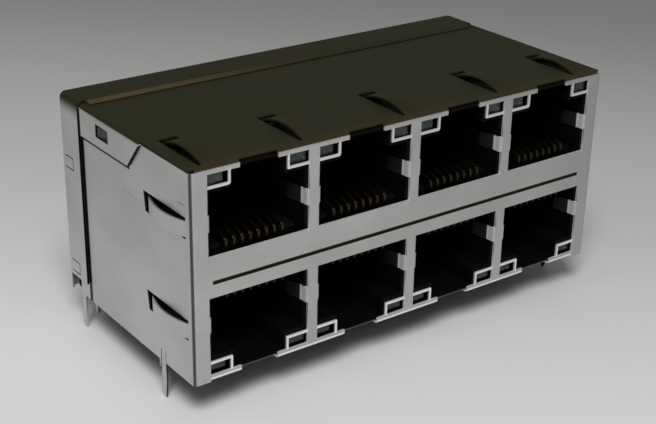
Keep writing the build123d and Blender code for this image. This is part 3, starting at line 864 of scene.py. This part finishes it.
def extrude(*along: float) -> None:
    """Extrudes the selected faces."""
    bpy.ops.mesh.extrude_region_move(TRANSFORM_OT_translate={"value": along})


def apply_modifier(piece: Piece, kind: str, **settings: object) -> None:
    """Adds one modifier to a piece and applies it.

    Args:
        piece: The piece.
        kind: The modifier's type.
        settings: Its settings.
    """
    alone(piece)
    modifier = piece.modifiers.new(kind.lower(), kind)
    for name, value in settings.items():
        setattr(modifier, name, value)
    bpy.ops.object.modifier_apply(modifier=modifier.name)


def mark_folds(piece: Piece) -> None:
    """Marks the folds to be rounded, except those that meet another in a narrow wedge.

    Args:
        piece: The piece.
    """
    mesh = piece.data
    sides: dict[tuple[int, int], list[Vector]] = {}
    for face in mesh.polygons:
        for key in face.edge_keys:
            sides.setdefault(key, []).append(face.normal)
    folds = {key for key, normals in sides.items()
             if len(normals) == 2 and normals[0].angle(normals[1], 0) > math.radians(FOLD_LIMIT)}
    spokes: dict[int, list[tuple[Vector, tuple[int, int]]]] = {}
    for key in folds:
        for here, there in (key, key[::-1]):
            along = mesh.vertices[there].co - mesh.vertices[here].co
            spokes.setdefault(here, []).append((along.normalized(), key))
    for meeting in spokes.values():
        for (first, one), (second, other) in combinations(meeting, 2):
            if first.dot(second) > math.cos(math.radians(NARROW_WEDGE)):
                folds -= {one, other}
    weights = mesh.attributes.new("bevel_weight_edge", "FLOAT", "EDGE")
    for edge in mesh.edges:
        weights.data[edge.index].value = float(tuple(sorted(edge.vertices)) in folds)


def ease_edges(piece: Piece, width: float) -> None:
    """Rounds the edges of a piece and smooths its shading.

    Args:
        piece: The piece, in millimetres.
        width: Width of the rounding.
    """
    mark_folds(piece)
    apply_modifier(piece, "BEVEL", width=width, segments=2, limit_method="WEIGHT",
                   use_clamp_overlap=False)
    alone(piece)
    bpy.ops.object.shade_smooth_by_angle(angle=math.radians(SMOOTH_LIMIT))
    apply_modifier(piece, "WEIGHTED_NORMAL", keep_sharp=True)


def merged_copy(node: str, name: str, join_flats: bool = True) -> Piece:
    """Copies a solid in millimetres, with its loose triangles joined.

    Args:
        node: Name of the solid.
        name: Name of the copy.
        join_flats: Whether level neighbours become one face.

    Returns:
        The copy, free of the frame.
    """
    piece = added(name, frame["nodes"][node].data.copy())
    piece.data.materials.clear()
    piece.data.transform(Matrix.Scale(1 / MM, 4))
    alone(piece)
    bpy.ops.mesh.customdata_custom_splitnormals_clear()
    choose_faces(piece, lambda centre, normal: True)

    def join() -> None:
        """Merges doubles, then flat neighbours."""
        bpy.ops.mesh.remove_doubles(threshold=0.0004)
        if join_flats:
            bpy.ops.mesh.dissolve_limited(angle_limit=math.radians(0.6))

    in_edit_mode(piece, join)
    return piece


def paint(piece: Piece, materials: Iterable[Material]) -> None:
    """Fills the material slots of a piece, replacing any that it has.

    Args:
        piece: The piece.
        materials: Its materials, in order.
    """
    piece.data.materials.clear()
    for material in materials:
        piece.data.materials.append(material)


def assign(piece: Piece, slot: int, test: Test) -> int:
    """Gives the faces that pass a test another of the piece's materials.

    Args:
        piece: The piece, in object mode.
        slot: Number of the material.
        test: Takes a face's centre and normal.

    Returns:
        How many faces changed.
    """
    chosen = [face for face in piece.data.polygons if test(face.center, face.normal)]
    for face in chosen:
        face.material_index = slot
    return len(chosen)


def finish_piece(piece: Piece, slot: str, *nodes: str) -> None:
    """Brings a piece to metres and hangs it on the jack.

    Args:
        piece: The piece, in millimetres.
        slot: Material slot of the record; not used.
        nodes: Solids that it stands for.
    """
    piece.data.transform(Matrix.Scale(MM, 4))
    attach(piece, BODY)
    if nodes:
        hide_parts(*nodes)
    log.info("%s: %d faces", piece.name, len(piece.data.polygons))


def rounded_copy(node: str, name: str, slot: str, material: Material, edge: float) -> None:
    """Stands a dressed copy with rounded edges in for a solid.

    Args:
        node: Name of the solid.
        name: Name of the copy.
        slot: Material slot of the record.
        material: Its finish.
        edge: Width of the rounding, in millimetres.
    """
    piece = merged_copy(node, name)
    paint(piece, [material])
    ease_edges(piece, edge)
    finish_piece(piece, slot, node)


def dress_node(node: str, material: Material) -> None:
    """Gives a solid of the frame, as it is, a finish.

    Args:
        node: Name of the solid.
        material: Its finish.
    """
    piece = frame["nodes"][node]
    paint(piece, [material])
    for face in piece.data.polygons:
        face.material_index = 0


# Sub-assemblies


@dataclass
class Shields:
    """The two folded sheets of the shell."""

    edge: float = 0.04
    leaf_window_end: float = 9.9
    leaf_middles: Span = (7.1, 18.9)
    top_draw: float = 0.42
    side_draw: float = 0.15
    side_slant: float = 0.35
    slim_strip: float = 0.67
    slim_post: float = 0.74
    # Drop and softness of the painted dark reflection on the top panel and on the cap
    top_panel_reflection: Span = (0.33, 0.10)
    cap_reflection: Span = (2.6, 2.2)

    def build(self) -> None:
        """Builds and dresses both sheets."""
        reflection_drop, reflection_soft = self.top_panel_reflection
        plated = PlatedSheet("plated_sheet", SHELL.top - reflection_drop, reflection_soft).material()
        reflection_drop, reflection_soft = self.cap_reflection
        capped = PlatedSheet("plated_cap", SHELL.top + SHELL.cap_step - reflection_drop, reflection_soft).material()
        # Painted highlight on the sheared edges of the front panel
        bright = CutEdge().material()
        self.sheet("front_shield", "front_shell", "plated_sheet", plated, bright)
        self.sheet("rear_shield", "rear_cap", "plated_sheet_rear", capped, bright)

    def sheet(self, node: str, name: str, slot: str, plated: Material, bright: Material) -> None:
        """Builds one folded sheet.

        Args:
            node: Solid that it stands for.
            name: Name of the piece.
            slot: Material slot of the record.
            plated: Finish of its faces.
            bright: Finish of its sheared edges.
        """
        piece = merged_copy(node, name, join_flats=False)
        self.draw_windows(piece)
        self.slim_frames(piece)
        paint(piece, [plated, bright])
        count = assign(piece, 1, self.is_cut)
        log.info("%s: %d sheared edges", name, count)
        ease_edges(piece, self.edge)
        finish_piece(piece, slot, node)

    def draw_windows(self, piece: Piece) -> None:
        """Draws the far ends of the leaf windows towards the tips of the springs.

        Args:
            piece: A sheet, in millimetres.
        """
        for vertex in piece.data.vertices:
            if abs(vertex.co.y - SHELL.front - self.leaf_window_end) > SNAP:
                continue
            if vertex.co.z > SHELL.top - 2 * SHELL.sheet:
                vertex.co.y -= self.top_draw
            elif abs(vertex.co.x) > SHELL.half_width - 2 * SHELL.sheet:
                middle = min(self.leaf_middles, key=lambda level: abs(level - vertex.co.z))
                vertex.co.y -= self.side_draw + (self.side_slant if vertex.co.z < middle else 0)

    def slim_frames(self, piece: Piece) -> None:
        """Slims the frames of the indicator windows towards the windows.

        Args:
            piece: A sheet, in millimetres.
        """
        for vertex in piece.data.vertices:
            place = vertex.co
            column = round((place.x - SHELL.first_column) / SHELL.port_pitch)
            middle = SHELL.first_column + SHELL.port_pitch * min(max(column, 0), COLUMNS - 1)
            aside = abs(place.x - middle)
            upper = place.z > (SHELL.top + SHELL.standoff) / 2
            inset = SHELL.top - place.z if upper else place.z - SHELL.standoff
            in_panel = place.y < SHELL.front + SHELL.sheet + SNAP
            beside = SHELL.frame_inner_edge - SNAP <= aside < SHELL.opening_edge + SNAP
            level = SHELL.window_inset - SNAP < inset < SHELL.frame_bottom + SNAP
            if not (in_panel and beside and level):
                continue
            if inset > SHELL.window_bottom:
                raised = (inset - SHELL.window_bottom) * (1 - self.slim_strip)
                place.z += raised if upper else -raised
            if aside < SHELL.window_edge:
                moved = (SHELL.window_edge - aside) * (1 - self.slim_post)
                place.x += math.copysign(moved, place.x - middle)

    def is_cut(self, centre: Vector, normal: Vector) -> bool:
        """Tells whether a face is a sheared edge of the front panel, but not of its middle slot.

        Args:
            centre: The face's centre.
            normal: The face's normal.

        Returns:
            Whether it is.
        """
        in_panel = SHELL.front < centre.y < SHELL.front + SHELL.sheet
        within = abs(centre.x) < SHELL.half_width - 1 and centre.z < SHELL.top - 0.5
        off_slot = abs(centre.z - SHELL.slot_level) > 2 * SHELL.slot_half_height
        return in_panel and within and off_slot and abs(normal.y) < 0.4


@dataclass
class BlackBody:
    """The housing with its eight sockets, the carriers of the contact wires and the ground plate."""

    edge: float = 0.07

    def build(self) -> None:
        """Builds the housing and dresses the carriers and the ground plate."""
        black = Moulding("housing_black", Ground.HOUSING).material()
        rounded_copy("housing", "socket_housing", "black_moulding", black, self.edge)
        carrier = Moulding("carrier_black", Ground.CARRIER, 0.46, 13.0).material()
        for row, number in product(ROWS, NUMBERS):
            dress_node(f"{row}_carrier_{number}", carrier)
        dress_node("mid_ground_plate", RolledPlate().material())


@dataclass
class Wires:
    """The eight contact wires of each socket."""

    edge: float = 0.045
    # Painted shade: the lower row's gold is darker still
    lower_shaded_gold: Colour = (0.030, 0.022, 0.012)

    def build(self) -> None:
        """Builds and dresses all the wires."""
        golds = (WireGold().material(), WireGold("gold_flash_shaded", self.lower_shaded_gold).material())
        for (row, shaded_gold), number in product(zip(ROWS, golds), NUMBERS):
            node = f"{row}_contacts_{number}"
            rounded_copy(node, f"{row}_wires_{number}", "gold_contact", shaded_gold, self.edge)


@dataclass
class Lamps:
    """The sixteen indicator lamps, each with the lead frame inside its lens."""

    edge: float = 0.08
    foil_edge: float = 0.02
    frame_depth: float = 0.75
    foil: float = 0.18
    anvil: Span = (0.62, 0.9)
    anvil_place: Span = (-0.42, 0.0)
    post: Span = (0.34, 1.1)
    post_place: Span = (0.48, -0.1)
    cup_rim: Span = (0.10, 0.10)
    cup_floor: Span = (0.07, 0.14)
    stem_length: float = 0.22

    def build(self) -> None:
        """Builds the lenses, copies the lead frame into each and dresses the leads."""
        lens = SmokedLens().material()
        tin = Tinned("lamp_tin").material()
        pattern = self.lead_frame()
        for row, number, (hand, side) in product(ROWS, NUMBERS, SIDES):
            node = f"led_{row}_{hand}_{number}"
            rounded_copy(node, f"lens_{row}_{hand}_{number}", "lamp_lens", lens, self.edge)
            self.place_frame(pattern, node, f"lamp_frame_{row}_{hand}_{number}", side, tin)
        bpy.data.objects.remove(pattern)
        for row in ROWS:
            dress_node(f"led_leads_{row}", tin)

    def block(self, size: Span, place: Span) -> Piece:
        """Cuts a block of the foil.

        Args:
            size: Its width and height.
            place: X and Z of its middle.

        Returns:
            The block.
        """
        deselect()
        bpy.ops.mesh.primitive_cube_add(size=1)
        piece = bpy.context.object
        piece.data.transform(Matrix.Diagonal((size[0], self.foil, size[1], 1)))
        piece.data.transform(Matrix.Translation((place[0], 0, place[1])))
        return piece

    def lead_frame(self) -> Piece:
        """Models an anvil with its cup and a slimmer post, both from one foil.

        Returns:
            The pattern, at the origin, seen from -Y.
        """
        piece = self.block(self.anvil, self.anvil_place)
        choose_faces(piece, lambda centre, normal: normal.y < -0.9)

        def cup() -> None:
            """Raises the cup's rim and sinks its floor."""
            bpy.ops.mesh.inset(thickness=self.cup_rim[0])
            extrude(0, -self.cup_rim[1], 0)
            bpy.ops.mesh.inset(thickness=self.cup_floor[0])
            extrude(0, self.cup_floor[1], 0)

        in_edit_mode(piece, cup)
        choose_faces(piece, lambda centre, normal: normal.z < -0.9 and centre.z < -0.44)

        def stem() -> None:
            """Narrows the foot of the anvil into its stem."""
            bpy.ops.mesh.inset(thickness=0.02)
            bpy.ops.transform.resize(value=(0.5, 1, 1))
            extrude(0, 0, -self.stem_length)

        in_edit_mode(piece, stem)
        post = self.block(self.post, self.post_place)
        choose_faces(post, lambda centre, normal: normal.z > 0.9)

        def wedge() -> None:
            """Draws the top of the post out into the bond pad."""
            extrude(-0.12, 0, 0.18)
            bpy.ops.transform.resize(value=(1.3, 1, 1))

        in_edit_mode(post, wedge)
        piece.select_set(True)
        post.select_set(True)
        bpy.context.view_layer.objects.active = piece
        bpy.ops.object.join()
        return piece

    def place_frame(self, pattern: Piece, node: str, name: str, side: int, material: Material) -> None:
        """Copies the lead frame into one lens.

        Args:
            pattern: The lead frame at the origin.
            node: Solid of the lens.
            name: Name of the copy.
            side: Which side of its socket the lamp is on.
            material: Finish of the foil.
        """
        low, high = box_mm(node)
        piece = added(name, pattern.data.copy())
        middle = Vector(((low.x + high.x) / 2, low.y + self.frame_depth, (low.z + high.z) / 2))
        piece.data.transform(Matrix.Translation(middle) @ Matrix.Diagonal((side, 1, 1, 1)))
        choose_faces(piece, lambda centre, normal: True)
        in_edit_mode(piece, lambda: bpy.ops.mesh.normals_make_consistent(inside=False))
        paint(piece, [material])
        ease_edges(piece, self.foil_edge)
        finish_piece(piece, "tinned_pin")


@dataclass
class Cores:
    """The wound ring cores of one module."""

    radius: float = 1.98
    bore: float = 0.72
    length: float = 2.9
    wire: float = 0.11
    turns: int = 18
    pitch_x: float = 5.6
    pitch_z: float = 4.3
    round_radius: float = 0.28
    ring_steps: int = 28
    squareness: float = 0.72
    first_turn: float = 90.0
    next_turn: float = 24.0

    def build(self) -> None:
        """Models a ring and its winding once and fills the four cases."""
        ring = self.ring()
        winding = self.winding()
        ferrite = Coated("ferrite", (0.045, 0.042, 0.045), (0.11, 0.10, 0.10), metallic=0.0,
                         roughness=(0.42, 0.25), scale=4.0, octaves=(5.0, 0.65), bump=(0.03, 0.6)).material()
        copper = Coated("enamel_red", (0.55, 0.12, 0.05), (0.70, 0.30, 0.12)).material()
        green = Coated("enamel_green", (0.10, 0.32, 0.12), (0.22, 0.42, 0.16)).material()
        for number in NUMBERS:
            node = f"cores_{number}"
            rings = self.spread(ring, node, f"ferrite_rings_{number}")
            paint(rings, [ferrite])
            finish_piece(rings, "ferrite_core", node)
            coils = self.spread(winding, node, f"windings_{number}")
            paint(coils, [copper, green])
            middle = sum(corner.x for corner in box_mm(node)) / 2
            assign(coils, 1, lambda centre, normal: centre.x > middle)
            finish_piece(coils, "ferrite_core")
        bpy.data.objects.remove(ring)
        bpy.data.objects.remove(winding)

    def ring(self) -> Piece:
        """Models the bare ring, with its axis along Y.

        Returns:
            The ring at the origin.
        """
        inner = self.bore + 2 * self.wire
        outer = self.radius - 2 * self.wire
        deselect()
        bpy.ops.mesh.primitive_plane_add(size=1)
        piece = bpy.context.object
        piece.name = "ring_pattern"
        piece.data.transform(Matrix.Diagonal((outer - inner, self.length - 4 * self.wire, 1, 1)))
        piece.data.transform(Matrix.Translation(((outer + inner) / 2, 0, 0)))

        def sweep() -> None:
            """Rounds the section and spins it into a closed ring."""
            select_mesh()
            bpy.ops.mesh.bevel(offset=self.round_radius, segments=3, affect="VERTICES")
            select_mesh()
            bpy.ops.mesh.spin(steps=self.ring_steps, angle=2 * math.pi, center=(0, 0, 0), axis=(0, 1, 0))
            select_mesh()
            bpy.ops.mesh.remove_doubles(threshold=0.001)
            bpy.ops.mesh.normals_make_consistent(inside=False)

        in_edit_mode(piece, sweep)
        self.drop_inner_faces(piece)
        bpy.ops.object.shade_smooth_by_angle(angle=math.radians(40))
        return piece

    def drop_inner_faces(self, piece: Piece) -> None:
        """Deletes the section faces that a spin leaves inside a ring.

        Args:
            piece: The ring.
        """
        choose_faces(piece, lambda centre, normal: False)
        sections = [face for face in piece.data.polygons if len(face.vertices) > 4]
        for face in sections:
            face.select = True
        if sections:
            in_edit_mode(piece, lambda: bpy.ops.mesh.delete(type="ONLY_FACE"))

    def winding(self) -> Piece:
        """Models one turn of wire and repeats it round the ring.

        Returns:
            The winding at the origin.
        """
        half = (self.radius - self.bore) / 2 - self.wire
        deselect()
        bpy.ops.mesh.primitive_torus_add(major_segments=12, minor_segments=6, major_radius=1.0,
                                         minor_radius=self.wire)
        piece = bpy.context.object
        piece.name = "winding_pattern"
        for vertex in piece.data.vertices:
            across = Vector((vertex.co.x, vertex.co.y, 0))
            centre = across.normalized()
            offset = vertex.co - centre
            grow = 1 / max(abs(centre.x), abs(centre.y)) ** self.squareness
            spread = Vector((centre.x * grow * half, centre.y * grow * (self.length / 2 - self.wire), 0))
            vertex.co = spread + offset + Vector(((self.radius + self.bore) / 2, 0, 0))

        def repeat() -> None:
            """Spins copies of the turn round the ring."""
            select_mesh()
            bpy.ops.mesh.spin(steps=self.turns - 1, dupli=True,
                              angle=2 * math.pi * (self.turns - 3) / self.turns,
                              center=(0, 0, 0), axis=(0, 1, 0))
            select_mesh()
            bpy.ops.mesh.normals_make_consistent(inside=False)

        in_edit_mode(piece, repeat)
        bpy.ops.object.shade_smooth()
        return piece

    def spread(self, pattern: Piece, node: str, name: str) -> Piece:
        """Copies a pattern to the eight core places of a module and joins the copies.

        Args:
            pattern: The shape at the origin.
            node: Solids of the module's cores.
            name: Name of the joined piece.

        Returns:
            The joined piece.
        """
        low, high = box_mm(node)
        middle = (low + high) / 2
        first, last = low.z + self.radius, high.z - self.radius
        levels = (first, first + self.pitch_z, last - self.pitch_z, last)
        deselect()
        copies = []
        for index, (level, hand) in enumerate(product(levels, (-1, 1))):
            copy = added(f"{name}_{index}", pattern.data.copy())
            place = Vector((middle.x + hand * self.pitch_x / 2, middle.y, level))
            angle = math.radians(self.first_turn + self.next_turn * index)
            copy.data.transform(Matrix.Translation(place) @ Matrix.Rotation(angle, 4, "Y"))
            copy.select_set(True)
            copies.append(copy)
        bpy.context.view_layer.objects.active = copies[0]
        bpy.ops.object.join()
        copies[0].name = name
        return copies[0]


@dataclass
class Modules:
    """Boards, chip parts, cases, pins and the organizer behind the sockets."""

    pin_edge: float = 0.05

    def build(self) -> None:
        """Dresses the hidden solids and rounds the pins, which can be seen from below."""
        mask = SolderMask().material()
        chip = ChipBody().material()
        case = Moulding("case_black", Ground.CASE, 0.50, 9.0).material()
        tin = Tinned("pin_tin").material()
        for number in NUMBERS:
            dress_node(f"board_{number}", mask)
            dress_node(f"chip_parts_{number}", chip)
            dress_node(f"magnetics_case_{number}", case)
            rounded_copy(f"solder_pins_{number}", f"board_pins_{number}", "tinned_pin", tin, self.pin_edge)
        organizer = Moulding("organizer_black", Ground.ORGANIZER, 0.55, 10.0).material()
        dress_node("pin_organizer", organizer)


@dataclass
class Studio:
    """Pale table, one soft lamp, an even grey world and the camera of the photograph."""

    place: Colour = (-90.47, -114.36, 75.89)
    azimuth: float = 36.64
    elevation: float = 24.215
    roll: float = 1.144
    lens: float = 72.75
    sensor: float = 36.0
    clip: Span = (0.005, 20.0)
    table_half: float = 2400.0
    lamp_place: Colour = (-160, -212, 365)
    lamp_target: Colour = (0, 5, 12)
    lamp_side: float = 170.0
    lamp_watts: float = 1.9
    sky_grey: Colour = (0.28, 0.28, 0.28)

    def build(self) -> None:
        """Lays the table, hangs the lamp and sets up the world and the camera."""
        self.table()
        self.lamp()
        self.sky()
        self.camera()

    def table(self) -> None:
        """Makes the table that the tails stand on."""
        floor_level = cad_box[0].z / MM
        deselect()
        bpy.ops.mesh.primitive_plane_add(size=2 * self.table_half)
        table = bpy.context.object
        table.name = "pale_table"
        table.data.transform(Matrix.Translation((0, 0, floor_level)))
        table.data.transform(Matrix.Scale(MM, 4))
        paint(table, [PaleTable().material()])

    def lamp(self) -> None:
        """Hangs the square soft lamp, which faces the jack from the camera's side."""
        light = bpy.data.lights.new("key_softbox", "AREA")
        light.size = self.lamp_side * MM
        light.energy = self.lamp_watts
        lamp = added("key_softbox", light)
        away = Vector(self.lamp_place) - Vector(self.lamp_target)
        lamp.location = Vector(self.lamp_place) * MM
        lamp.rotation_euler = away.to_track_quat("Z", "Y").to_euler()

    def sky(self) -> None:
        """Sets an even pale grey world."""
        world = bpy.data.worlds.new("soft_grey")
        world.use_nodes = True
        background = next(node for node in world.node_tree.nodes if node.type == "BACKGROUND")
        background.inputs["Color"].default_value = (*self.sky_grey, 1)
        background.inputs["Strength"].default_value = 1.0
        bpy.context.scene.world = world

    def camera(self) -> None:
        """Sets up the camera at the photograph's viewing angle."""
        turn, tilt, roll = (math.radians(angle) for angle in (self.azimuth, self.elevation, self.roll))
        ahead = Vector((math.sin(turn) * math.cos(tilt), math.cos(turn) * math.cos(tilt), -math.sin(tilt)))
        level = Vector((math.cos(turn), -math.sin(turn), 0))
        upright = level.cross(ahead)
        right = level * math.cos(roll) + upright * math.sin(roll)
        up = upright * math.cos(roll) - level * math.sin(roll)
        data = bpy.data.cameras.new("photo_camera")
        data.lens = self.lens
        data.sensor_width = self.sensor
        data.clip_start, data.clip_end = self.clip
        camera = added("photo_camera", data)
        axes = Matrix((right, up, -ahead)).transposed().to_4x4()
        camera.matrix_world = Matrix.Translation(Vector(self.place) * MM) @ axes
        bpy.context.scene.camera = camera


def main() -> None:
    """Builds every sub-assembly in order."""
    logging.basicConfig(level=logging.INFO, format="%(message)s")
    bpy.context.scene.view_settings.view_transform = "Standard"
    for part in (Studio(), Shields(), BlackBody(), Wires(), Lamps(), Cores(), Modules()):
        part.build()
        log.info("%s built", type(part).__name__)


if __name__ == "__main__":
    main()
